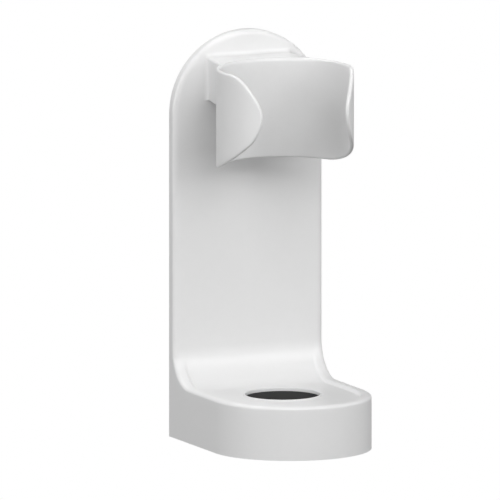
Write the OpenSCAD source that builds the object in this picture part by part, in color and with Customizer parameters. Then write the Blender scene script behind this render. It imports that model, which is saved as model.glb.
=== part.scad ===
// Wall-hung hair dryer holder: arched back plate, D-shaped tray with a hole, and a C-shaped barrel clip.
// The wall is the plane Y = 0 and the front looks along -Y, with +Z up.
// The origin is the centre of the wall fixing. Heights below are measured from the underside of the base.

/* [Body] */
// Width of the plate and of the base
body_w = 90; // [75:1:110]
// Height from the underside to the top of the arch
body_h = 225; // [187:0.5:280]
// Distance from the wall to the centre of the rounded front
straight_d = 63.5; // [58:0.5:80]
// Thickness of the back plate, measured from the wall
plate_t = 6.2; // [5.6:0.1:9]
// Wall thickness of the moulded shell
skin = 2.4; // [1.8:0.1:2.8]
// Radius of the rounded outer edges
edge_r = 2; // [1:0.1:3.5]
// Gap between the rear edge of the shell and the wall
wall_gap = 0.3; // [0.2:0.1:0.6]

/* [Tray] */
// Height of the tray floor
floor_z = 28.2; // [23:0.2:38]
// Height of the rim above the tray floor
rim_h = 2; // [0.6:0.1:2.5]
// Width of the rim
rim_w = 7.5; // [5:0.1:9]
// Radius of the sweep from the plate down into the tray
sweep_r = 20; // [12:0.5:24]
// Radius of the hole in the tray
hole_r = 20.6; // [14:0.1:25]
// Distance from the wall to the centre of the hole
hole_d = 53.2; // [50:0.1:60]
// Width of the raised lip round the hole
lip_w = 1.3; // [0.8:0.1:2]
// Height of the raised lip
lip_h = 0.6; // [0.3:0.1:1]

/* [Clip] */
// Inner radius of the clip
clip_r = 35.6; // [29:0.1:43]
// Wall thickness of the clip
clip_t = 2.4; // [1.6:0.1:3]
// Distance from the wall to the clip's axis
clip_d = 56.7; // [54:0.1:68]
// Distance from the top of the plate down to the clip's upper edge
clip_drop = 13.8; // [8:0.1:30]
// Height of the clip
clip_h = 55.7; // [46:0.1:70]
// How far the wing tips reach past the clip's widest point, in degrees
wing_angle = 46.8; // [35:0.1:55]
// Height of the stem
stem_h = 23.7; // [16:0.1:30]
// How far the stem's foot stays in from the clip's sides
stem_in = 14; // [11:0.1:18]
// How far each side of the stem spreads towards the clip, in degrees
stem_flare = 10; // [0:0.5:14]
// Radius of the fillet at the foot of the stem
foot_r = 2.5; // [1:0.1:4]

/* [Wall fixing] */
// How far the bracket stays in from the sides of the plate
bracket_in = 18; // [16:0.5:24]
// Height of the bracket
bracket_h = 84; // [74:1:90]
// Distance between the two wall screws
screw_pitch = 50; // [36:1:56]
// Radius of the wall screw holes
wall_hole_r = 2.3; // [1.8:0.1:2.8]
// Thickness of the adhesive pad
pad_t = 0.8; // [0.5:0.1:1.2]
// Height of each hooking tab
tab_h = 13; // [10:0.5:16]
// How far the tabs stand out past the bracket's sides
tab_out = 6; // [4:0.5:7]

/* [Inner parts] */
// Wall thickness of the seat cup
cup_t = 1.6; // [1:0.1:2.2]
// Depth of the step under the tray floor that seats the cup's flange
seat_step = 1.1; // [0.4:0.1:1.4]
// Height of the ring that carries the cup on the bottom cover
cup_stand = 4.4; // [2:0.1:8]
// Thickness of the bottom cover
cover_t = 2.2; // [1.6:0.1:3]
// Shank radius of the self-tapping screws
screw_r = 1.5; // [1.2:0.1:2]
// Head radius of the self-tapping screws
head_r = 2.9; // [2.4:0.1:3.4]
// Radius of the rubber bumpers
bumper_r = 5; // [4:0.1:6]

/* [Hidden] */
$fn = 96;
eps = 0.01;
// Clearance between pieces that fit together
gap = 0.3;
// Extra length of a cut that has to run past a face
over = 1;
round_r = body_w / 2;
arch_z = body_h - round_r;
rim_z = floor_z + rim_h;
sweep_y = -plate_t - sweep_r;
recess_d = plate_t - skin;
clip_out = clip_r + clip_t;
clip_top = body_h - clip_drop;
clip_z = clip_top - clip_h;
stem_z = clip_top - stem_h;
stem_w = clip_out - stem_in;
stem_l = clip_d - clip_out - plate_t;
stem_end = 0.6;
fixing_z = (floor_z + sweep_r + stem_z) / 2;
bracket_w = round_r - bracket_in;

// Screws
head_h = 1.6;
head_round = 0.8;
slot_l = 3;
slot_w = 0.7;
slot_h = 0.9;
tip_l = 1.5;
tip_r = 0.6;
screw_fit = 0.2;
boss_r = 3.6;
pilot_r = screw_r - screw_fit;
screw_l = 12;
clip_screw_l = skin + 0.75 * stem_l;
clip_screw_x = 0.6 * stem_w;
clip_screw_z = stem_z + stem_h / 2;

// Bracket, its tabs and the shell's hooks
bracket_y = -recess_d + gap;
corner_w = 8;
sink_d = 1.6;
sink_over = 0.2;
pad_in = 4;
pad_fit = 1.2;
tab_t = 1.3;
tab_end = 8;
tab_z = [tab_end - bracket_h / 2, bracket_h / 2 - tab_end - tab_h];
lip_back = -wall_gap - 0.2;
web_t = 1.8;
stop_t = 2.3;

// Base: its cover, the posts for the cover's screws, the cup and the bumpers
cover_z = head_h + 0.6;
cover_in = skin + 0.2;
cover_back = 1.5;
rear_post = [8, 14];
front_post = [12, 16];
cover_posts = [[round_r - rear_post[0], -rear_post[1]],
               [round_r - front_post[0], -straight_d - front_post[1]]];
ring_t = 2;
flange_w = 2.6;
cup_r = hole_r + cup_t + gap;
cup_low = cover_z + cover_t + cup_stand;
cup_top = floor_z - skin + seat_step;
gusset_t = 1.6;
gusset_x = bracket_w - 1;
gusset_back = wall_gap + 0.4;
gusset_low = cover_z + 16;
gusset_drop = 4;
gusset_rise = 8;
bumper_x = round_r - skin / 2 - bumper_r;
bumper_z = cover_z + cover_t + bumper_r + 4;
bumper_h = 1.4;
bumper_post_l = 8;
plug_r = 2.5;
plug_l = 4;

// Moves heights measured from the underside to the fixing's centre
module on_wall() {
  translate([0, 0, -fixing_z]) children();
}

// Places a solid at x and at -x
module both_sides(x) {
  for (side = [-1, 1]) translate([side * x, 0, 0]) children();
}

// Turns a shape drawn with X across and Y up so that it stands on the XZ plane, and makes it solid
// from the distance near in front of the wall to the distance far
module upright(near, far) {
  translate([0, -near, 0]) rotate([90, 0, 0]) linear_extrude(far - near) children();
}

// Solid across X from a side outline drawn as [distance from the wall, height]
module across(width) {
  translate([-width / 2, 0, 0]) rotate([90, 0, -90]) mirror([0, 0, 1]) linear_extrude(width) children();
}

// Points of a quarter arc from angle a to angle b round [x, y]
function arc(x, y, r, a, b, steps = 8) =
  [for (i = [0 : steps]) [x + r * cos(a + (b - a) * i / steps), y + r * sin(a + (b - a) * i / steps)]];

// Height of the middle of the moulded wall, at a distance in front of the wall plane
function mid_wall(d) = d > -sweep_y ? floor_z - skin / 2
  : floor_z + sweep_r - sqrt(pow(sweep_r + skin / 2, 2) - pow(-sweep_y - d, 2));

// Arc of the sweep behind the tray floor's, set back by inset, from the tray up to the plate
function sweep_arc(inset) = arc(-sweep_y, floor_z + sweep_r, sweep_r + inset, 270, 180, 12);

// Arched outline of the plate, pulled in all round by inset
module arch_outline(inset, low) {
  translate([0, arch_z]) circle(round_r - inset);
  translate([inset - round_r, low]) square([body_w - 2 * inset, arch_z - low]);
}

// D-shaped outline of the base seen from above, pulled in by inset
module base_outline(inset, back) {
  translate([0, -straight_d]) circle(round_r - inset);
  translate([inset - round_r, -straight_d]) square([body_w - 2 * inset, straight_d - back]);
}

// Plate with a rounded front edge
module plate_solid() {
  rounded = concat([[0, wall_gap], [round_r, wall_gap]],
                   arc(round_r - edge_r, plate_t - edge_r, edge_r, 0, 90), [[0, plate_t]]);
  translate([0, 0, arch_z]) rotate([90, 0, 0]) rotate_extrude() polygon(rounded);
  both_halves() mirror([0, 1, 0]) linear_extrude(arch_z) polygon(rounded);
}

// Draws a half and its mirror image
module both_halves() {
  children();
  mirror([1, 0, 0]) children();
}

// Base with a rounded rim
module base_solid() {
  rounded = concat([[0, 0], [round_r, 0]],
                   arc(round_r - edge_r, rim_z - edge_r, edge_r, 0, 90), [[0, rim_z]]);
  translate([0, -straight_d, 0]) rotate_extrude() polygon(rounded);
  both_halves() translate([0, -wall_gap, 0]) rotate([90, 0, 0]) linear_extrude(straight_d - wall_gap)
    polygon(rounded);
}

// Sweep between plate and base, with rounded side edges, at the height of the rim
module sweep_solid() {
  far_r = 2 * sweep_r;
  rounded = concat([[far_r, 0], [far_r, round_r]],
                   arc(sweep_r + edge_r, round_r - edge_r, edge_r, 90, 180), [[sweep_r, 0]]);
  intersection() {
    both_halves() translate([0, sweep_y, rim_z + sweep_r]) rotate([0, 90, 0]) rotate_extrude()
      polygon(rounded);
    translate([-round_r, sweep_y, 0]) cube([body_w, -sweep_y - wall_gap, rim_z + sweep_r]);
  }
}

// Space above the tray floor, inside the rim
module tray_space() {
  inner_w = body_w - 2 * rim_w;
  translate([0, -straight_d, floor_z]) cylinder(r = round_r - rim_w, h = sweep_r);
  translate([-inner_w / 2, -straight_d, floor_z]) cube([inner_w, straight_d + sweep_y, sweep_r]);
  translate([-inner_w / 2, sweep_y, floor_z + sweep_r]) rotate([0, 90, 0]) cylinder(r = sweep_r, h = inner_w);
  translate([-inner_w / 2, sweep_y, floor_z + sweep_r]) cube([inner_w, sweep_r, sweep_r]);
}

// Hollow inside the shell, open at the back and underneath
module shell_hollow() {
  translate([0, 0, -eps]) linear_extrude(floor_z - skin + eps) base_outline(skin, -wall_gap);
  upright(0, recess_d) arch_outline(skin, -eps);
  top = floor_z + sweep_r + over;
  across(body_w - 2 * skin)
    polygon(concat([[0, -eps], [-sweep_y, -eps]], sweep_arc(skin), [[recess_d, top], [0, top]]));
}

// Hook on the inside of the plate that slides down over one tab of the bracket
module rail_hook(z) {
  inner_x = bracket_w + 1;
  web_x = bracket_w + tab_out + gap;
  outer_x = web_x + web_t;
  lip_t = recess_d - gap - tab_t - gap + lip_back;
  root_y = -recess_d - skin / 2;
  both_halves() {
    translate([web_x, root_y, z]) cube([outer_x - web_x, lip_back - root_y, tab_h + stop_t]);
    translate([inner_x, lip_back - lip_t, z]) cube([outer_x - inner_x, lip_t, tab_h + stop_t]);
    translate([inner_x, root_y, z + tab_h + gap]) cube([outer_x - inner_x, lip_back - root_y, stop_t - gap]);
  }
}

module front_shell() color("white") on_wall() difference() {
  union() {
    difference() {
      union() {
        plate_solid();
        base_solid();
        sweep_solid();
      }
      tray_space();
      shell_hollow();
      translate([0, -hole_d, 0]) cylinder(r = hole_r + lip_w / 2, h = floor_z + sweep_r);
      translate([0, -hole_d, 0]) cylinder(r = cup_r + flange_w + gap, h = cup_top);
    }
    hole_lip();
    for (z = tab_z) rail_hook(fixing_z + z);
    for (post = cover_posts)
      both_sides(post[0]) translate([0, post[1], cover_z + cover_t])
        cylinder(r = boss_r, h = mid_wall(-post[1]) - cover_z - cover_t);
    both_sides(bumper_x) bumper_post();
    both_sides(gusset_x) gusset();
  }
  for (post = cover_posts)
    both_sides(post[0]) translate([0, post[1], 0]) cylinder(r = pilot_r, h = cover_z + cover_t + screw_l);
  both_sides(bumper_x) translate([0, 0, bumper_z]) rotate([90, 0, 0])
    cylinder(r = plug_r, h = bumper_h + plug_l + gap);
  both_sides(clip_screw_x) translate([0, 0, clip_screw_z]) rotate([90, 0, 0])
    cylinder(r = screw_r + screw_fit, h = plate_t + over);
}

// Ring with a rounded top that lines the hole and stands a little above the tray floor
module hole_lip() {
  top = arc(lip_w / 2, 0, lip_w / 2, 0, 180) * [[1, 0], [0, 2 * lip_h / lip_w]];
  translate([0, -hole_d, floor_z]) rotate_extrude() translate([hole_r, 0])
    polygon(concat([[0, seat_step - skin], [lip_w, seat_step - skin]], top));
}

// Post behind each bumper, tied to the side wall
module bumper_post() {
  translate([0, -bumper_h, bumper_z]) rotate([90, 0, 0]) cylinder(r = bumper_r, h = bumper_post_l);
}

// Web behind the sweep that stiffens the corner between plate and base
module gusset() {
  top = floor_z + sweep_r;
  across(gusset_t) polygon(concat([[gusset_back, gusset_low], [-sweep_y, floor_z - skin - gusset_drop]],
                                  sweep_arc(skin / 2),
                                  [[recess_d + skin / 2, top + gusset_rise],
                                   [gusset_back, top + gusset_rise / 4]]));
}

// Points along a cubic curve with four control points, without its last point
function curve(p, steps = 6) = [for (i = [0 : steps - 1]) let (t = i / steps, u = 1 - t)
  u * u * u * p[0] + 3 * u * u * t * p[1] + 3 * u * t * t * p[2] + t * t * t * p[3]];

// Outline of a wing as [share of the wing's angle, share of the clip's height], from the low back edge
// round the tip to the top
wing_low = [[-0.6, 0], [-0.1, 0], [0.45, 0.17], [0.758, 0.314]];
wing_tip_low = [[0.758, 0.314], [0.9, 0.4], [1, 0.5], [1, 0.59]];
wing_tip_high = [[1, 0.59], [1, 0.69], [0.88, 0.775], [0.758, 0.855]];
wing_high = [[0.758, 0.855], [0.65, 0.925], [0.52, 0.985], [0.3, 1]];
wing_outline = concat(curve(wing_low), curve(wing_tip_low), curve(wing_tip_high), curve(wing_high),
                      [[0.3, 1]]);

// The clip's outline seen from the side, as [distance in front of the clip's axis, height]
clip_side = concat([[-clip_out - over, clip_z]],
                   [for (w = wing_outline) [clip_out * sin(w[0] * wing_angle), clip_z + w[1] * clip_h]],
                   [[-clip_out - over, clip_top]]);

// Plan of the stem from the plate into the clip, with its sides moved in by inset
module stem_plan(inset) {
  reach = clip_d - stem_end * clip_out;
  spread = (reach - plate_t) * tan(stem_flare);
  polygon([[inset - stem_w, -plate_t], [stem_w - inset, -plate_t],
           [stem_w + spread - inset, -reach], [inset - stem_w - spread, -reach]]);
}

module clip_band() color("white") on_wall() difference() {
  union() {
    intersection() {
      translate([0, -clip_d, clip_z]) cylinder(r = clip_out, h = clip_h);
      across(3 * clip_out) translate([clip_d, 0]) polygon(clip_side);
    }
    difference() {
      translate([0, 0, stem_z]) linear_extrude(stem_h) stem_plan(0);
      translate([0, 0, stem_z + skin]) linear_extrude(stem_h - 2 * skin) difference() {
        stem_plan(skin);
        translate([0, -clip_d]) circle(clip_out);
      }
    }
    both_sides(clip_screw_x) translate([0, -plate_t, clip_screw_z]) rotate([90, 0, 0])
      cylinder(r = boss_r, h = clip_d - clip_r - plate_t);
    stem_foot();
  }
  translate([0, -clip_d, clip_z - over]) cylinder(r = clip_r, h = clip_h + 2 * over);
  both_sides(clip_screw_x) translate([0, -plate_t + eps, clip_screw_z]) rotate([90, 0, 0])
    cylinder(r = pilot_r, h = clip_screw_l);
}

// Small concave fillet where the stem's two sides meet the plate
module stem_foot() {
  hollow = concat([[0, 0], [foot_r, 0]], arc(foot_r, foot_r, foot_r, 270, 180));
  both_halves() translate([stem_w, -plate_t, stem_z]) mirror([0, 1, 0])
    linear_extrude(stem_h) polygon(hollow);
}

// Pan-head self-tapping screw: head on the plane Z = 0, shank pointing to +Z
module tapping_screw(length) {
  difference() {
    translate([0, 0, -head_h]) rotate_extrude()
      polygon(concat([[0, 0]], arc(head_r - head_round, head_round, head_round, 270, 360, 4),
                     [[head_r, head_h], [0, head_h]]));
    for (turn = [0, 90])
      rotate([0, 0, turn]) translate([-slot_l / 2, -slot_w / 2, -head_h - eps])
        cube([slot_l, slot_w, slot_h]);
  }
  cylinder(r = screw_r, h = length - tip_l);
  translate([0, 0, length - tip_l]) cylinder(r1 = screw_r, r2 = tip_r, h = tip_l);
}

module clip_screws() color("silver") on_wall()
  both_sides(clip_screw_x) translate([0, -recess_d, clip_screw_z]) rotate([90, 0, 0])
    tapping_screw(clip_screw_l);

module wall_bracket() color("gainsboro") difference() {
  union() {
    difference() {
      upright(pad_t, -bracket_y) square([2 * bracket_w, bracket_h], center = true);
      corner_cuts();
    }
    for (z = tab_z) translate([-bracket_w - tab_out, bracket_y, z])
      cube([2 * (bracket_w + tab_out), tab_t, tab_h]);
  }
  for (z = [-1, 1]) translate([0, 0, z * screw_pitch / 2]) rotate([90, 0, 0]) {
    cylinder(r = wall_hole_r, h = plate_t);
    translate([0, 0, -bracket_y - sink_d + sink_over])
      cylinder(r1 = wall_hole_r, r2 = wall_hole_r + sink_d, h = sink_d);
  }
}

// Chamfers at the bracket's four corners
module corner_cuts() {
  for (x = [-1, 1], z = [-1, 1])
    translate([x * bracket_w, 0, z * bracket_h / 2]) rotate([0, 45, 0])
      cube([corner_w, 3 * plate_t, corner_w], center = true);
}

module adhesive_pad() color("dimgray") difference() {
  upright(0, pad_t) square([2 * (bracket_w - pad_in), bracket_h - 2 * pad_in], center = true);
  for (z = [-1, 1])
    translate([0, over, z * screw_pitch / 2]) rotate([90, 0, 0])
      cylinder(r = wall_hole_r + pad_fit, h = pad_t + 2 * over);
}

module seat_cup() color([0.2, 0.2, 0.21]) on_wall() {
  flange_r = cup_r + flange_w;
  translate([0, -hole_d, 0]) rotate_extrude()
    polygon([[0, cup_low], [cup_r, cup_low], [cup_r, cup_top - cup_t], [flange_r, cup_top - cup_t],
             [flange_r, cup_top], [cup_r - cup_t, cup_top], [cup_r - cup_t, cup_low + cup_t],
             [0, cup_low + cup_t]]);
}

module bottom_cover() color("white") on_wall() difference() {
  union() {
    translate([0, 0, cover_z]) linear_extrude(cover_t) base_outline(cover_in, cover_back);
    translate([0, -hole_d, cover_z]) difference() {
      cylinder(r = hole_r, h = cup_low - cover_z);
      translate([0, 0, cover_t]) cylinder(r = hole_r - ring_t, h = floor_z);
    }
  }
  for (post = cover_posts)
    both_sides(post[0]) translate([0, post[1], 0]) cylinder(r = screw_r + screw_fit, h = floor_z);
}

module cover_screws() color("silver") on_wall()
  for (post = cover_posts) both_sides(post[0]) translate([0, post[1], cover_z]) tapping_screw(screw_l);

module wall_bumpers() color("dimgray") on_wall()
  both_sides(bumper_x) translate([0, 0, bumper_z]) rotate([90, 0, 0]) {
    cylinder(r = bumper_r - gap, h = bumper_h);
    cylinder(r = plug_r, h = bumper_h + plug_l);
  }

front_shell();
clip_band();
clip_screws();
wall_bracket();
adhesive_pad();
seat_cup();
bottom_cover();
cover_screws();
wall_bumpers();
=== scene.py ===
import bpy
import bmesh
import math
import numpy as np
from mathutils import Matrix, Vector


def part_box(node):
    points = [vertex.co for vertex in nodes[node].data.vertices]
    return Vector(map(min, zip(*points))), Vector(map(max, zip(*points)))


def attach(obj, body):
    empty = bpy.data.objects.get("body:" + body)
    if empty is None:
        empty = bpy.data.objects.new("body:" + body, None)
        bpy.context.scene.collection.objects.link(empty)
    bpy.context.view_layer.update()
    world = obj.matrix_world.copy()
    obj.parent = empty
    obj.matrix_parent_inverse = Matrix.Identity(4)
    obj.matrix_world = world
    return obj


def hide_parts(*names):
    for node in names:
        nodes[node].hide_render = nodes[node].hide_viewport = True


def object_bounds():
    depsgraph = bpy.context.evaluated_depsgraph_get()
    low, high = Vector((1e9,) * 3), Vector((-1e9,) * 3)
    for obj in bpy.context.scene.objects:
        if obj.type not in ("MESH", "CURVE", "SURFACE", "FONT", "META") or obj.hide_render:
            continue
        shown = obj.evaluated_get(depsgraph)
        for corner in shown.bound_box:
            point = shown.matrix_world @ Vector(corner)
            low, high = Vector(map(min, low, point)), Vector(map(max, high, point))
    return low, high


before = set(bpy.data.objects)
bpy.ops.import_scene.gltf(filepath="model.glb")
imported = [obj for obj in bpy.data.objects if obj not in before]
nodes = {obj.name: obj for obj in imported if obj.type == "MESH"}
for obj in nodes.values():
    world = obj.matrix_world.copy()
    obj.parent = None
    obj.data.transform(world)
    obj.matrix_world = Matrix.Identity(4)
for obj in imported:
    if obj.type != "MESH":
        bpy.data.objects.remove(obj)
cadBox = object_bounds()
mm = 0.001
shellLow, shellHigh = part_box("front_shell")
underside = shellLow.z / mm                      # height of the underside in the frame, in millimetres
print("frame loaded")


# camera

view = {
    "azimuth": -23.8,
    "elevation": 9.3,
    "aim": (3.9, 0.0, 100.8),                    # across, out from the wall, up from the underside
    "height": 275.7,
    "distance": 900.0,
    "clip": (0.01, 100.0),                       # nearest and furthest that it sees, in metres
}


def toFrame(points):
    # [across, out from the wall, up from the underside] in millimetres, to metres in the frame
    p = np.asarray(points, float).reshape(-1, 3)
    return np.stack([p[:, 0], -p[:, 1], p[:, 2] + underside], 1) * mm


def aimAt(thing, target, azimuth, elevation, distance):
    # stands a camera or a light off its target, which it faces; the distance is in metres
    a, e = math.radians(azimuth), math.radians(elevation)
    back = Vector((math.sin(a) * math.cos(e), -math.cos(a) * math.cos(e), math.sin(e)))
    thing.location = target + back * distance
    thing.rotation_mode = "QUATERNION"
    thing.rotation_quaternion = (-back).to_track_quat("-Z", "Y")
    bpy.context.scene.collection.objects.link(thing)


def makeCamera():
    data = bpy.data.cameras.new("camera")
    data.type = "ORTHO"
    data.ortho_scale = view["height"] * mm
    data.clip_start, data.clip_end = view["clip"]
    camera = bpy.data.objects.new("camera", data)
    aimAt(camera, Vector(toFrame(view["aim"])[0]), view["azimuth"], view["elevation"], view["distance"] * mm)
    bpy.context.scene.camera = camera


# node trees

class Wire:
    # an output socket that takes part in sums
    def __init__(self, finish, socket):
        self.finish, self.socket = finish, socket

    def sum(self, operation, first, second):
        return self.finish.node("ShaderNodeMath", {"operation": operation}, {0: first, 1: second})["Value"]

    def __add__(self, other): return self.sum("ADD", self, other)
    def __radd__(self, other): return self.sum("ADD", other, self)
    def __sub__(self, other): return self.sum("SUBTRACT", self, other)
    def __rsub__(self, other): return self.sum("SUBTRACT", other, self)
    def __mul__(self, other): return self.sum("MULTIPLY", self, other)
    def __rmul__(self, other): return self.sum("MULTIPLY", other, self)


class Finish:
    # the nodes of a material, or of the sky
    def __init__(self, owner):
        self.owner = owner
        owner.use_nodes = True
        self.tree = owner.node_tree
        self.tree.nodes.clear()

    def node(self, kind, settings, sockets):
        made = self.tree.nodes.new(kind)
        for key, value in settings.items():
            if key == "stops":
                while len(made.color_ramp.elements) < len(value):
                    made.color_ramp.elements.new(0.5)
                for stop, (position, colour) in zip(made.color_ramp.elements, value):
                    stop.position, stop.color = position, colour
            else:
                setattr(made, key, value)
        for key, value in sockets.items():
            if isinstance(value, Wire):
                self.tree.links.new(value.socket, made.inputs[key])
            else:
                made.inputs[key].default_value = value
        return {out.name: Wire(self, out) for out in made.outputs if out.enabled}

    def mix(self, share, first, second):
        return self.node("ShaderNodeMix", {"data_type": "RGBA"}, {0: share, 6: first, 7: second})["Result"]

    def noise(self, size, detail=2.0, roughness=0.5, stretch=(1, 1, 1)):
        place = self.node("ShaderNodeTexCoord", {}, {})["Object"]
        scaled = self.node("ShaderNodeVectorMath", {"operation": "MULTIPLY"}, {0: place, 1: stretch})
        return self.node("ShaderNodeTexNoise", {}, {
            "Vector": scaled["Vector"],
            "Scale": 1 / (size * mm),
            "Detail": detail,
            "Roughness": roughness,
        })["Fac"]

    def bump(self, height, depth, strength, normal=None):
        sockets = {"Height": height, "Distance": depth * mm, "Strength": strength}
        if normal:
            sockets["Normal"] = normal
        return self.node("ShaderNodeBump", {}, sockets)["Normal"]

    def output(self, shader):
        self.node("ShaderNodeOutputMaterial", {}, {"Surface": shader})

    def principled(self, sockets):
        self.output(self.node("ShaderNodeBsdfPrincipled", {}, sockets)["BSDF"])
        return self.owner


def grey(value):
    return (value, value, value, 1)


# plastic, rubber and steel

whitePlastic = {
    "colour": grey(0.785),
    "colourLow": grey(0.762),
    "fleckColour": grey(0.62),
    "fleck": 0.09,
    "mottle": 0.10,
    "mottleSize": 4.0,
    "cloudSize": 38.0,
    "grainSize": 0.6,
    "grainDepth": 0.035,
    "grainStrength": 0.35,
    "pits": (2.6, 2.0, 0.6),                     # size, depth and strength, as multiples of the grain's
    "rough": 0.33,
    "roughDrift": 0.08,
    "roughGrain": 0.14,
    "ior": 1.5,
    "specular": 0.5,
}
coverPlastic = dict(whitePlastic, colour=grey(0.80), colourLow=grey(0.77), rough=0.46)
bracketPlastic = dict(whitePlastic, colour=grey(0.56), colourLow=grey(0.52), fleckColour=grey(0.40),
                      rough=0.48)
# near-black silicone for the seat cup: painted shade, standing in for the shade inside the hollow under the
# tray's hole
paintedShadeSilicone = dict(whitePlastic, colour=grey(0.052), colourLow=grey(0.043), fleckColour=grey(0.08),
                     rough=0.6, grainSize=0.4, specular=0.4)
greyRubber = dict(paintedShadeSilicone, colour=grey(0.11), colourLow=grey(0.09), fleckColour=grey(0.15), rough=0.7)
foamTape = dict(greyRubber, colour=grey(0.24), colourLow=grey(0.2), fleckColour=grey(0.1), fleck=0.5,
                rough=0.85, grainSize=0.9, grainDepth=0.12, grainStrength=0.6)


def mouldedPlastic(name, look):
    finish = Finish(bpy.data.materials.new(name))
    cloud = finish.noise(look["cloudSize"], 3.0)
    mottle = finish.noise(look["mottleSize"], 3.0, 0.6)
    grain = finish.noise(look["grainSize"], 2.0, 0.6)
    pitSize, pitDepth, pitStrength = look["pits"]
    pits = finish.noise(look["grainSize"] * pitSize, 2.0, 0.55)
    colour = finish.mix(cloud, look["colour"], look["colourLow"])
    colour = finish.mix(mottle * look["mottle"] + grain * look["fleck"], colour, look["fleckColour"])
    rough = look["rough"] + (cloud - 0.5) * look["roughDrift"] + (grain - 0.5) * look["roughGrain"]
    fine = finish.bump(grain, look["grainDepth"], look["grainStrength"])
    normal = finish.bump(pits, look["grainDepth"] * pitDepth, look["grainStrength"] * pitStrength, fine)
    return finish.principled({
        "Base Color": colour,
        "Roughness": rough,
        "Normal": normal,
        "IOR": look["ior"],
        "Specular IOR Level": look["specular"],
    })


zincPlate = {
    "colour": grey(0.66),
    "colourLow": (0.60, 0.60, 0.63, 1),
    "cloudSize": 2.0,
    "brushSize": 0.25,
    "brushStretch": (1, 1, 4),
    "brushDepth": 0.01,
    "brushStrength": 0.3,
    "rough": 0.30,
    "roughDrift": 0.15,
}


def zincSteel(name, look):
    finish = Finish(bpy.data.materials.new(name))
    cloud = finish.noise(look["cloudSize"], 3.0)
    brushed = finish.noise(look["brushSize"], 2.0, 0.6, look["brushStretch"])
    return finish.principled({
        "Base Color": finish.mix(cloud, look["colour"], look["colourLow"]),
        "Metallic": 1.0,
        "Roughness": look["rough"] + cloud * look["roughDrift"],
        "Normal": finish.bump(brushed, look["brushDepth"], look["brushStrength"]),
    })


# floor, room and lights

stage = {
    "floorDrop": 1200.0,                         # the holder hangs on a wall, so the floor is far below it
    "roomRadius": 6.0,                           # of the pale room around it, in metres
    "roomDetail": 4,
    "glow": 1.0,
    "skyAbove": 0.29,
    "skyLevel": 0.42,
    "skyBelow": 0.1,
    "lightDistance": 1.5,
    "lights": [                                  # name, azimuth, elevation, size in metres, watts
        ("frontHigh", 0, 45, 0.8, 9.3),
        ("right", 29, 27, 0.5, 3.6),
        ("rightLow", 45, 5, 0.6, 2.0),
        ("left", -40, 35, 0.6, 3.4),
        ("leftLow", -78, 12, 0.8, 6.5),
        ("topBack", 190, 62, 0.6, 6.6),
    ],
}


def floorAndRoom():
    radius, z = stage["roomRadius"], (underside - stage["floorDrop"]) * mm
    floor = bpy.data.meshes.new("floor")
    corners = [(-radius, -radius, z), (radius, -radius, z), (radius, radius, z), (-radius, radius, z)]
    floor.from_pydata(corners, [], [(0, 1, 2, 3)])
    room = bpy.data.meshes.new("room")
    ball = bmesh.new()
    bmesh.ops.create_icosphere(ball, subdivisions=stage["roomDetail"], radius=radius)
    ball.to_mesh(room)
    ball.free()
    glow = Finish(bpy.data.materials.new("paleRoom"))
    glow.output(glow.node("ShaderNodeEmission", {}, {"Strength": stage["glow"]})["Emission"])
    for data in (floor, room):                   # they are only seen: sky and lamps light the holder
        data.materials.append(glow.owner)
        piece = bpy.data.objects.new(data.name, data)
        bpy.context.scene.collection.objects.link(piece)
        piece.visible_diffuse = False
        piece.visible_glossy = False
        piece.visible_shadow = False


def makeSky():
    world = bpy.data.worlds.new("sky")
    sky = Finish(world)
    direction = sky.node("ShaderNodeTexCoord", {}, {})["Generated"]
    up = sky.node("ShaderNodeSeparateXYZ", {}, {"Vector": direction})["Z"]
    stops = [(0.0, grey(stage["skyBelow"])), (0.5, grey(stage["skyLevel"])), (1.0, grey(stage["skyAbove"]))]
    shade = sky.node("ShaderNodeValToRGB", {"stops": stops}, {"Fac": up * 0.5 + 0.5})["Color"]
    light = sky.node("ShaderNodeBackground", {}, {"Color": shade})["Background"]
    sky.node("ShaderNodeOutputWorld", {}, {"Surface": light})
    bpy.context.scene.world = world


def makeLights():
    middle = (cadBox[0] + cadBox[1]) / 2
    for name, azimuth, elevation, size, watts in stage["lights"]:
        data = bpy.data.lights.new(name, "AREA")
        data.shape = "SQUARE"
        data.size = size
        data.energy = watts
        lamp = bpy.data.objects.new(name, data)
        aimAt(lamp, middle, azimuth, elevation, stage["lightDistance"])
    bpy.context.scene.view_settings.view_transform = "Standard"


# mesh tools; their points are [across, out from the wall, up from the underside] in millimetres

def newPiece(name, points, faces):
    data = bpy.data.meshes.new(name)
    data.from_pydata([tuple(p) for p in toFrame(points)], [], [tuple(int(i) for i in f) for f in faces])
    piece = bpy.data.objects.new(name, data)
    bpy.context.scene.collection.objects.link(piece)
    weld(piece)
    return piece


def weld(piece):
    # joins points that meet, drops edges without length and turns every face outward
    made = bmesh.new()
    made.from_mesh(piece.data)
    bmesh.ops.remove_doubles(made, verts=made.verts, dist=2e-7)                 # in metres
    bmesh.ops.dissolve_degenerate(made, edges=made.edges, dist=1e-8)
    bmesh.ops.recalc_face_normals(made, faces=made.faces)
    made.to_mesh(piece.data)
    made.free()


def combine(piece, tool, operation):
    # joins tool to piece or cuts it away, and deletes tool
    change = piece.modifiers.new("change", "BOOLEAN")
    change.object = tool
    change.operation = operation
    change.solver = "MANIFOLD"
    bpy.context.view_layer.update()
    graph = bpy.context.evaluated_depsgraph_get()
    result = bpy.data.meshes.new_from_object(piece.evaluated_get(graph))
    piece.modifiers.clear()
    old = piece.data
    piece.data = result
    result.name = old.name
    bpy.data.meshes.remove(old)
    bpy.data.objects.remove(tool)


def cutAway(piece, *tools):
    for tool in tools:
        combine(piece, tool, "DIFFERENCE")


def addOn(piece, *tools):
    for tool in tools:
        combine(piece, tool, "UNION")


def ringFaces(ring, count):
    # quads between count closed rings of ring points each
    faces = []
    for r in range(count - 1):
        for i in range(ring):
            a, b = r * ring + i, r * ring + (i + 1) % ring
            faces.append((a, b, b + ring, a + ring))
    return faces


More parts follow.
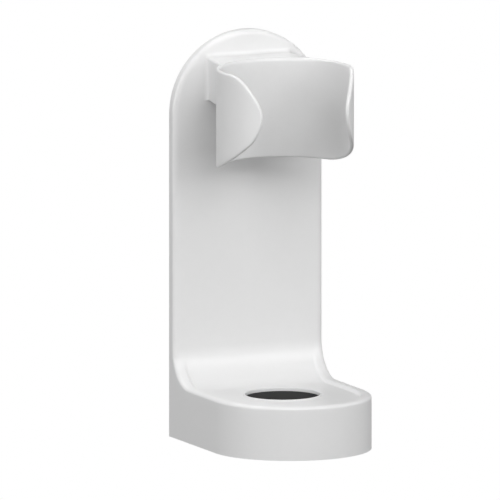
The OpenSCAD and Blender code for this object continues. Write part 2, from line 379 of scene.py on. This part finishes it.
def endFaces(ring, total):
    return [tuple(range(ring)), tuple(range(total - 1, total - 1 - ring, -1))]


def prism(outline, axis, low, high):
    # closed solid from a flat outline: axis 0 takes [out, up], axis 1 [across, up], axis 2 [across, out]
    points = []
    for level in (low, high):
        for u, v in outline:
            point = [u, v]
            point.insert(axis, level)
            points.append(point)
    return newPiece("tool", points, ringFaces(len(outline), 2) + endFaces(len(outline), len(points)))


def block(low, high):
    corners = [(low[0], low[1]), (high[0], low[1]), (high[0], high[1]), (low[0], high[1])]
    return prism(corners, 2, low[2], high[2])


def sideBlock(side, across, out, up):
    # block between three pairs of limits, mirrored to one side of the middle
    near, far = sorted(side * x for x in across)
    return block((near, out[0], up[0]), (far, out[1], up[1]))


def arcPoints(centre, radius, start, end, steps):
    turns = np.radians(np.linspace(start, end, steps + 1))
    return [(centre[0] + radius * math.cos(t), centre[1] + radius * math.sin(t)) for t in turns]


def disc(centre, radius, axis, low, high, steps=48):
    return prism(arcPoints(centre, radius, 0, 360, steps)[:-1], axis, low, high)


def lathe(profile, centre, steps):
    # closed profile of [radius, height], turned about a vertical axis at [across, out]
    turns = np.linspace(0, 2 * math.pi, steps, endpoint=False)
    points = [(centre[0] + r * math.cos(t), centre[1] + r * math.sin(t), z)
              for r, z in profile for t in turns]
    last = (len(profile) - 1) * steps
    closing = [(last + i, last + (i + 1) % steps, (i + 1) % steps, i) for i in range(steps)]
    return newPiece("tool", points, ringFaces(steps, len(profile)) + closing)


def smooth(t):
    t = np.clip(t, 0, 1)
    return t * t * t * (t * (6 * t - 15) + 10)


sharpAngle = math.radians(32)                    # edges that turn further than this stay crisp


def dress(piece, name, body, material, replaced):
    # names a finished piece, smooths it, gives it its finish and hands it to its body
    piece.name = piece.data.name = name
    for face in piece.data.polygons:
        face.use_smooth = True
    piece.data.set_sharp_from_angle(angle=sharpAngle)
    piece.data.materials.clear()
    piece.data.materials.append(material)
    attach(piece, body)
    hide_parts(replaced)


# front shell: plate, sweep, tray and skirt in one moulding

shell = {
    "width": round((shellHigh.x - shellLow.x) / mm, 1),
    "height": round((shellHigh.z - shellLow.z) / mm, 1),
    "depth": round(-shellLow.y / mm, 1),
    "plate": 6.2,
    "skin": 2.4,
    "edge": 2.0,                                 # how far the rounded outer edge falls
    "edgeWide": 3.4,                             # and how wide it is
    "edgeSteps": 10,
    "edgeMargin": 0.6,                           # flat strip that keeps the rounding from bleeding inward
    "wallGap": 0.3,
    "floor": 28.2,
    "rim": 2.0,                                  # height of the rim above the tray floor
    "rimFlat": 5.0,                              # where the rim starts to fall, in from the edge
    "rimFoot": 7.6,                              # where it reaches the floor
    "rimSteps": 11,
    "rimFade": 2.6,                              # how soon the step dies out on its way up the sweep
    "sweep": 20.0,
    "arcSteps": 72,
    "sweepSteps": 32,
    "plateStep": 9.0,
    "trayStep": 6.0,
    "skirtRings": (1.0, 0.5, 0.08),              # from the foot up to the rounded edge
    "insideRings": (10.0, 15.0, 22.0, 30.0, 38.0),
}
halfWidth = shell["width"] / 2
rimUp = shell["floor"] + shell["rim"]
bendOut = shell["plate"] + shell["sweep"]
bendUp = shell["floor"] + shell["sweep"]
# along the sheet, down from the top: where it bends, where the bend ends and where its round front starts
bendStart = shell["height"] - rimUp - shell["sweep"]
bendEnd = bendStart + shell["sweep"] * math.pi / 2
frontStart = bendEnd + shell["depth"] - bendOut - halfWidth

cupLow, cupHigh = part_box("seat_cup")
hole = {
    "out": round(-(cupLow.y + cupHigh.y) / 2 / mm, 1),
    "radius": 20.6,
    "lip": 1.3,
    "lipHeight": 0.6,
    "lipSteps": 14,
    "seat": round((cupHigh.x - cupLow.x) / 2 / mm, 1) + 0.3,       # radius of the step that seats the cup
    "seatTop": round(cupHigh.z / mm - underside, 1),
    "cutReach": 8.0,                             # how far the cuts run past the tray floor
    "steps": 128,
}
inner = {
    "sweepSteps": 12,
    "gap": 0.3,
    "bracketHalf": 27.0,
    "tabOut": 6.0,
    "tab": 1.3,
    "tabHeight": 13.0,
    "stop": 2.3,
    "hookUp": (-34.0, 21.0),                     # lower ends of the hooks, from the fixing's centre
    "hookBack": 0.2,                             # how far the hooks stand in from the shell's rear edge
    "lipReach": 1.0,                             # how far the hooks' lips stay off the bracket's sides
    "web": 1.8,
    "postRadius": 3.6,
    "posts": [(37.0, 14.0), (33.0, 79.5)],
    "postLow": 4.4,
    "pilot": 1.3,
    "pilotHigh": 16.4,
    "bumper": (38.8, 13.4),
    "bumperRadius": 5.0,
    "bumperDepth": 1.4,
    "bumperPost": 8.0,
    "plugRadius": 2.5,
    "plugDepth": 5.7,
    "plugSteps": 32,
    "gusset": 26.0,
    "gussetThick": 1.6,
    "gussetBack": 0.4,                           # the same for the gussets
    "gussetLow": (18.2, 4.0),                    # its foot at the wall, and its depth under the tray's skin
    "gussetUp": (8.0, 2.0),                      # how far it runs past the bend, at plate and wall
    "clipScrew": (14.4, 199.35),
    "clipScrewHole": 1.7,
    "drillPast": 0.5,
    "holeSteps": 24,
}


def bendTurn(s):
    return np.clip((s - bendStart) / shell["sweep"], 0, math.pi / 2)


def sheetPoint(x, s, h):
    # bends the flat stadium-shaped sheet over plate, sweep and tray
    # x runs across, s down from the top, and h off the sheet
    turn, r = bendTurn(s), shell["sweep"]
    after = np.maximum(s - bendEnd, 0)
    out = bendOut - (r - h) * np.cos(turn) + after
    up = np.where(s <= bendStart, shell["height"] - s, rimUp + r - (r - h) * np.sin(turn))
    return np.stack([x, out, up], -1)


def sheetRelief(inward, s):
    # height of the skin over the rim's level: rounded edge outside, soft step down to the tray floor inside
    near = np.clip(1 - inward / shell["edgeWide"], 0, 1)
    edge = shell["edge"] * (np.sqrt(1 - near * near) - 1)
    fall = smooth((inward - shell["rimFlat"]) / (shell["rimFoot"] - shell["rimFlat"]))
    return edge - shell["rim"] * np.sin(bendTurn(s)) ** shell["rimFade"] * fall


def spaced(start, end, step):
    return np.linspace(start, end, int((end - start) / step) + 1)[1:]


def sheetOutline():
    # the sheet's edge from its left side over the top, down, round the front and back up:
    # its points, and the direction inward at each
    side = np.concatenate([spaced(halfWidth, bendStart, shell["plateStep"]),
                           np.linspace(bendStart, bendEnd, shell["sweepSteps"] + 1)[1:],
                           spaced(bendEnd, frontStart, shell["trayStep"])[:-1]])
    over = np.linspace(math.pi, 0, shell["arcSteps"] + 1)
    under = over[::-1]
    still, one = np.zeros(len(side)), np.ones(len(side))
    x = halfWidth * np.concatenate([np.cos(over), one, np.cos(under), -one])
    s = np.concatenate([halfWidth - halfWidth * np.sin(over), side,
                        frontStart + halfWidth * np.sin(under), side[::-1]])
    inX = np.concatenate([-np.cos(over), -one, -np.cos(under), one])
    inS = np.concatenate([np.sin(over), still, -np.sin(under), still])
    return x, s, inX, inS


def outerShell():
    # closed skin: a foot, the skirt, the rounded edge and the rings inside it
    x, s, inX, inS = sheetOutline()
    ring = len(x)
    bend = np.clip((s - bendStart) / (bendEnd - bendStart), 0, 1)
    alongWall, alongFloor = np.minimum(bend * 2, 1), np.maximum(bend * 2 - 1, 0)
    sheet = sheetPoint(x, s, np.zeros(ring))
    footUp = np.where(s <= bendStart, sheet[:, 2], (rimUp + shell["sweep"]) * (1 - alongWall))
    footOut = shell["wallGap"] + (bendOut - shell["wallGap"]) * alongFloor
    foot = np.stack([x, np.where(s >= bendEnd, sheet[:, 1], footOut), footUp], -1)
    brim = sheetPoint(x, s, np.full(ring, -shell["edge"]))
    rings = [brim + (foot - brim) * share for share in shell["skirtRings"]]
    rounded = shell["edgeWide"] * (1 - np.cos(np.linspace(0, math.pi / 2, shell["edgeSteps"] + 1)))
    step = np.linspace(shell["rimFlat"], shell["rimFoot"], shell["rimSteps"] + 1)
    beside = shell["edgeWide"] + shell["edgeMargin"]
    for inward in (*rounded, beside, *step, *shell["insideRings"], halfWidth):
        px, ps = x + inX * inward, s + inS * inward
        rings.append(sheetPoint(px, ps, sheetRelief(np.full(ring, inward), ps)))
    faces = ringFaces(ring, len(rings))
    # the underside and the back are one flat face each, and meet at the two points halfway round the bend
    halfway = np.abs(bend - 0.5) < 1e-6
    right = int(np.argmax(halfway & (x > 0)))
    left = int(ring - 1 - np.argmax((halfway & (x < 0))[::-1]))
    faces.append((*range(left, ring), *range(0, right + 1)))
    faces.append(tuple(range(right, left + 1)))
    return newPiece("front_shell_skin", np.concatenate(rings), faces)


def roundOutline(inset, centre, start):
    # straight sides from start, closed by a half circle about centre
    half = halfWidth - inset
    return [(half, start)] + arcPoints((0, centre), half, 0, 180, shell["arcSteps"]) + [(-half, start)]


def sweepArc(inset):
    return arcPoints((bendOut, bendUp), shell["sweep"] + inset, 270, 180, inner["sweepSteps"])


def shellHollow():
    # a floor part, a plate part and the curve between them, all open to the wall and to the ground
    skin, recess, past = shell["skin"], shell["plate"] - shell["skin"], -1.0
    half, top = halfWidth - skin, bendUp - past
    behindSweep = [(past, past), (bendOut, past)] + sweepArc(skin) + [(recess, top), (past, top)]
    hollow = prism(roundOutline(skin, shell["depth"] - halfWidth, past), 2, past, shell["floor"] - skin)
    addOn(hollow, prism(behindSweep, 0, -half, half))
    addOn(hollow, prism(roundOutline(skin, shell["height"] - halfWidth, past), 1, past, recess))
    return hollow


def hooks(side):
    # web, lip and stop of the two hooks that slide over the bracket's tabs
    root = shell["plate"] - shell["skin"] / 2
    back = shell["wallGap"] + inner["hookBack"]
    lip = shell["plate"] - shell["skin"] - 2 * inner["gap"] - inner["tab"] - back
    near = inner["bracketHalf"] + inner["tabOut"] + inner["gap"]
    far = near + inner["web"]
    over = (inner["bracketHalf"] + inner["lipReach"], far)
    made = []
    for low in inner["hookUp"]:
        low = low - underside
        high = low + inner["tabHeight"] + inner["stop"]
        stopLow = low + inner["tabHeight"] + inner["gap"]
        made.append(sideBlock(side, (near, far), (back, root), (low, high)))
        made.append(sideBlock(side, over, (back, back + lip), (low, high)))
        made.append(sideBlock(side, over, (back, root), (stopLow, high)))
    return made


def posts(side):
    # two posts for the cover's screws, and one lying post that holds the bumper
    made = [disc((side * x, out), inner["postRadius"], 2, inner["postLow"], bendUp)
            for x, out in inner["posts"]]
    x, up = inner["bumper"]
    back = inner["bumperDepth"]
    made.append(disc((side * x, up), inner["bumperRadius"], 1, back, back + inner["bumperPost"]))
    return made


def gusset(side):
    root = shell["plate"] - shell["skin"] / 2
    back = shell["wallGap"] + inner["gussetBack"]
    lowBack, lowFront = inner["gussetLow"]
    pastPlate, pastWall = inner["gussetUp"]
    outline = [(back, lowBack), (bendOut, shell["floor"] - shell["skin"] - lowFront)]
    outline += sweepArc(shell["skin"] / 2) + [(root, bendUp + pastPlate), (back, bendUp + pastWall)]
    middle, half = side * inner["gusset"], inner["gussetThick"] / 2
    return prism(outline, 0, middle - half, middle + half)


def fixingHoles(side):
    # pilots in the posts, the bumper's socket and the clip screw's hole
    made = [disc((side * x, out), inner["pilot"], 2, 0, inner["pilotHigh"], inner["holeSteps"])
            for x, out in inner["posts"]]
    x, up = inner["bumper"]
    made.append(disc((side * x, up), inner["plugRadius"], 1, 0, inner["plugDepth"], inner["plugSteps"]))
    x, up = inner["clipScrew"]
    through = shell["plate"] + inner["drillPast"]
    made.append(disc((side * x, up), inner["clipScrewHole"], 1, 0, through, inner["holeSteps"]))
    return made


def trayHole(piece):
    # cuts the hole and the cup's seat, and stands a rounded lip in the hole's edge
    at, lip, reach = (0, hole["out"]), hole["lip"], hole["cutReach"]
    low, high = shell["floor"] - reach, shell["floor"] + reach
    cutAway(piece, disc(at, hole["radius"] + lip / 2, 2, low, high, hole["steps"]))
    cutAway(piece, disc(at, hole["seat"], 2, low, hole["seatTop"], hole["steps"]))
    crown = [(hole["radius"] + lip / 2 + u * lip / 2, shell["floor"] + v * hole["lipHeight"])
             for u, v in arcPoints((0, 0), 1, 0, 180, hole["lipSteps"])]
    flat = [(hole["radius"], hole["seatTop"]), (hole["radius"] + lip, hole["seatTop"])]
    addOn(piece, lathe(flat + crown, at, hole["steps"]))


def frontShell():
    piece = outerShell()
    hollow = shellHollow()
    for side in (-1, 1):                         # these stand inside the hollow, so they are cut out of it
        cutAway(hollow, *hooks(side), *posts(side), gusset(side))
    cutAway(piece, hollow)
    trayHole(piece)
    for side in (-1, 1):
        cutAway(piece, *fixingHoles(side))
    return piece


# clip: C-shaped band with two wings, and its stem

clipLow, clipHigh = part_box("clip_band")
clip = {
    "outer": round((clipHigh.x - clipLow.x) / 2 / mm, 1),
    "low": round(clipLow.z / mm - underside, 1),
    "high": round(clipHigh.z / mm - underside, 1),
    "thick": 2.4,
    "out": 56.7,                                 # distance of its axis from the wall
    "wingAngle": 46.8,
    "backSteps": 33,
    "wingSteps": (20, 14, 14, 12),               # points on each of the wing's curves
    "innerRound": 1.25,
    "backRound": 2.2,                            # the inner upper edge is rounder in front of the stem
    "backRoundEnd": 1.05,                        # where that ends along the band, as a share of its radius
    "backRoundFade": 18.0,
    "topWithin": 0.3,                            # what counts as the upper edge, down from the top
    "roundSteps": 6,
    "rows": 14,
    "stemIn": 14.0,
    "stemFlare": 10.0,
    "stemHeight": 23.7,
    "stemTopRound": 1.4,
    "stemLowRound": 0.3,
    "stemRoundSteps": (8, 3),
    "stemSections": (10, 7),                     # in the fillet at its foot, and from there to the band
    "stemEnd": 0.775,                            # where it ends in the band, as a share of the band's radius
    "stemSink": 0.55,                            # how deep it runs into the band's wall, as a share of it
    "footFillet": 2.6,
    "boreSteps": 160,
    "footUnder": 0.25,                           # share of the fillet under the stem
}
clipMiddle = clip["outer"] - clip["thick"] / 2
clipInner = clip["outer"] - clip["thick"]
# outline of a wing in [share of its angle, share of the clip's height], as cubic curves
wingCurves = [
    [(-0.6, 0), (-0.1, 0), (0.45, 0.17), (0.758, 0.314)],
    [(0.758, 0.314), (0.9, 0.4), (1, 0.5), (1, 0.59)],
    [(1, 0.59), (1, 0.69), (0.88, 0.775), (0.758, 0.855)],
    [(0.758, 0.855), (0.65, 0.925), (0.52, 0.985), (0.3, 1)],
]


def curvePoints(p, steps):
    t = np.linspace(0, 1, steps + 1)[:, None]
    p = np.asarray(p, float)
    return (1 - t) ** 3 * p[0] + 3 * (1 - t) ** 2 * t * p[1] + 3 * (1 - t) * t * t * p[2] + t ** 3 * p[3]


def wingEdges():
    # lower and upper outline of the right wing from the back to the tip, in [degrees past the side, height]
    steps = clip["wingSteps"]
    lower = np.concatenate([curvePoints(wingCurves[0], steps[0]), curvePoints(wingCurves[1], steps[1])[1:]])
    upper = np.concatenate([curvePoints(wingCurves[3][::-1], steps[3]),
                            curvePoints(wingCurves[2][::-1], steps[2])[1:]])
    flatSteps = len(lower) - len(upper)          # both outlines need as many points
    flat = np.linspace(lower[0, 0], upper[0, 0], flatSteps + 1)[:-1]
    upper = np.concatenate([np.stack([flat, np.ones(flatSteps)], 1), upper])
    scale = np.array([clip["wingAngle"], clip["high"] - clip["low"]])
    base = np.array([0, clip["low"]])
    return lower * scale + base, upper * scale + base


def bandEdges():
    # lower and upper outline of the unrolled band from tip to tip, in [arc length from the back, height]
    edges = []
    for height, wing in zip((clip["low"], clip["high"]), wingEdges()):
        around = np.linspace(-90, wing[0, 0], clip["backSteps"] + 1)[:-1]
        edge = np.concatenate([np.stack([around, np.full(len(around), height)], 1), wing])
        right = np.stack([np.radians(edge[:, 0] + 90) * clipMiddle, edge[:, 1]], 1)
        edges.append(np.concatenate([right[:0:-1] * (-1, 1), right]))
    return edges


def bandRings(loop):
    # rolls the outline's edge over from the outer face to the inner one: flat rings, and the radius of each
    run = np.roll(loop, -1, 0) - np.roll(loop, 1, 0)
    run /= np.linalg.norm(run, axis=1)[:, None]
    inward = np.stack([-run[:, 1], run[:, 0]], 1)
    onTop = loop[:, 1] > clip["high"] - clip["topWithin"]
    fade = (clip["outer"] * clip["backRoundEnd"] - np.abs(loop[:, 0])) / clip["backRoundFade"]
    innerRound = clip["innerRound"] + (clip["backRound"] - clip["innerRound"]) * smooth(fade) * onTop
    outerRound = clip["thick"] - innerRound
    turns = np.linspace(0, math.pi / 2, clip["roundSteps"] + 1)
    rings, radii = [], []
    for t in turns:
        rings.append(loop + inward * (outerRound * (1 - math.sin(t)))[:, None])
        radii.append(clip["outer"] - outerRound * (1 - math.cos(t)))
    for t in turns[1:]:
        rings.append(loop + inward * (innerRound * (1 - math.cos(t)))[:, None])
        radii.append(clipInner + innerRound * (1 - math.sin(t)))
    return rings, radii


def rolled(flat, radius):
    # unrolled points to their place on the band
    turn = flat[:, 0] / clipMiddle - math.pi / 2
    return np.stack([radius * np.cos(turn), clip["out"] + radius * np.sin(turn), flat[:, 1]], 1)


def clipBand():
    low, high = bandEdges()
    count = len(low)
    loop = np.concatenate([low, high[-2:0:-1]])
    ring = len(loop)
    rings, radii = bandRings(loop)
    points = [rolled(flat, radius) for flat, radius in zip(rings, radii)]
    faces = ringFaces(ring, len(rings))
    total = ring * len(rings)
    partner = [0, *range(ring - 1, ring - count + 1, -1), count - 1]     # upper point over each lower one
    # the two broad faces are filled with columns of quads from the lower outline to the upper one
    for edge, radius, turned in ((0, clip["outer"], False), (len(rings) - 1, clipInner, True)):
        flat = rings[edge]
        columns = []
        for i in range(count):
            a, b = edge * ring + i, edge * ring + partner[i]
            if a == b:
                columns.append([a] * (clip["rows"] + 1))
                continue
            rise = (flat[partner[i]] - flat[i]) / clip["rows"]
            between = [flat[i] + rise * k for k in range(1, clip["rows"])]
            points.append(rolled(np.array(between), radius))
            columns.append([a, *range(total, total + len(between)), b])
            total += len(between)
        for one, two in zip(columns, columns[1:]):
            for k in range(clip["rows"]):
                quad = [one[k], two[k], two[k + 1], one[k + 1]]
                quad = [v for j, v in enumerate(quad) if v not in quad[:j]]
                faces.append(tuple(quad[::-1] if turned else quad))
    return newPiece("clip_band_skin", np.concatenate(points), faces)


def stemSection(out):
    # cross-section of the stem at a distance from the wall, with the fillet at the plate
    fillet, sinceFoot = clip["footFillet"], out - shell["plate"]
    short = max(fillet - sinceFoot, 0)
    flare = fillet - math.sqrt(max(fillet * fillet - short * short, 0))
    wide = clip["outer"] - clip["stemIn"] + sinceFoot * math.tan(math.radians(clip["stemFlare"])) + flare
    up = clip["high"] + flare
    down = clip["high"] - clip["stemHeight"] - flare * clip["footUnder"]
    corner, small = clip["stemTopRound"], clip["stemLowRound"]
    topSteps, lowSteps = clip["stemRoundSteps"]
    section = arcPoints((wide - corner, up - corner), corner, 0, 90, topSteps)
    section += arcPoints((corner - wide, up - corner), corner, 90, 180, topSteps)
    section += arcPoints((small - wide, down + small), small, 180, 270, lowSteps)
    section += arcPoints((wide - small, down + small), small, 270, 360, lowSteps)
    return [(x, out, z) for x, z in section]


def clipStem():
    # lofted from the plate's face into the band, and cut to the band's curve
    fillet = clip["footFillet"]
    inFillet, inStraight = clip["stemSections"]
    curved = shell["plate"] + fillet * (1 - np.cos(np.linspace(0, math.pi / 2, inFillet)))
    last = clip["out"] - clipMiddle * clip["stemEnd"]
    outs = np.concatenate([curved, np.linspace(curved[-1], last, inStraight + 1)[1:]])
    points = [point for out in outs for point in stemSection(out)]
    ring = len(points) // len(outs)
    stem = newPiece("tool", points, ringFaces(ring, len(outs)) + endFaces(ring, len(points)))
    bore = clip["outer"] - clip["thick"] * clip["stemSink"]
    cutAway(stem, disc((0, clip["out"]), bore, 2, clip["low"], clip["high"] + fillet * 2, clip["boreSteps"]))
    return stem


def clipPiece():
    piece = clipBand()
    addOn(piece, clipStem())
    return piece


# build

makeCamera()
floorAndRoom()
makeSky()
makeLights()
print("stage ready")

whiteFinish = mouldedPlastic("whitePlastic", whitePlastic)
dress(frontShell(), "front_shell_moulding", "holder", whiteFinish, "front_shell")
print("front shell built")
dress(clipPiece(), "clip_moulding", "holder", whiteFinish, "clip_band")
print("clip built")

steel = zincSteel("zincSteel", zincPlate)
plainPieces = {                                  # finish, and width of the broken edges in millimetres
    # the seat cup's near-black finish is painted shade for the hollow under the hole
    "seat_cup": (mouldedPlastic("paintedShadeSilicone", paintedShadeSilicone), 0.3),
    "wall_bumpers": (mouldedPlastic("greyRubber", greyRubber), 0.4),
    "adhesive_pad": (mouldedPlastic("foamTape", foamTape), 0),
    "bottom_cover": (mouldedPlastic("coverPlastic", coverPlastic), 0.35),
    "wall_bracket": (mouldedPlastic("bracketPlastic", bracketPlastic), 0.3),
    "clip_screws": (steel, 0.1),
    "cover_screws": (steel, 0.1),
}
for name, (material, softEdge) in plainPieces.items():
    piece = nodes[name]
    piece.data.materials.clear()
    piece.data.materials.append(material)
    if softEdge:
        bevel = piece.modifiers.new("softEdge", "BEVEL")
        bevel.width = softEdge * mm
        bevel.segments = 2
        bevel.limit_method = "ANGLE"
        bevel.angle_limit = sharpAngle
        bevel.harden_normals = True
print("finishes on")
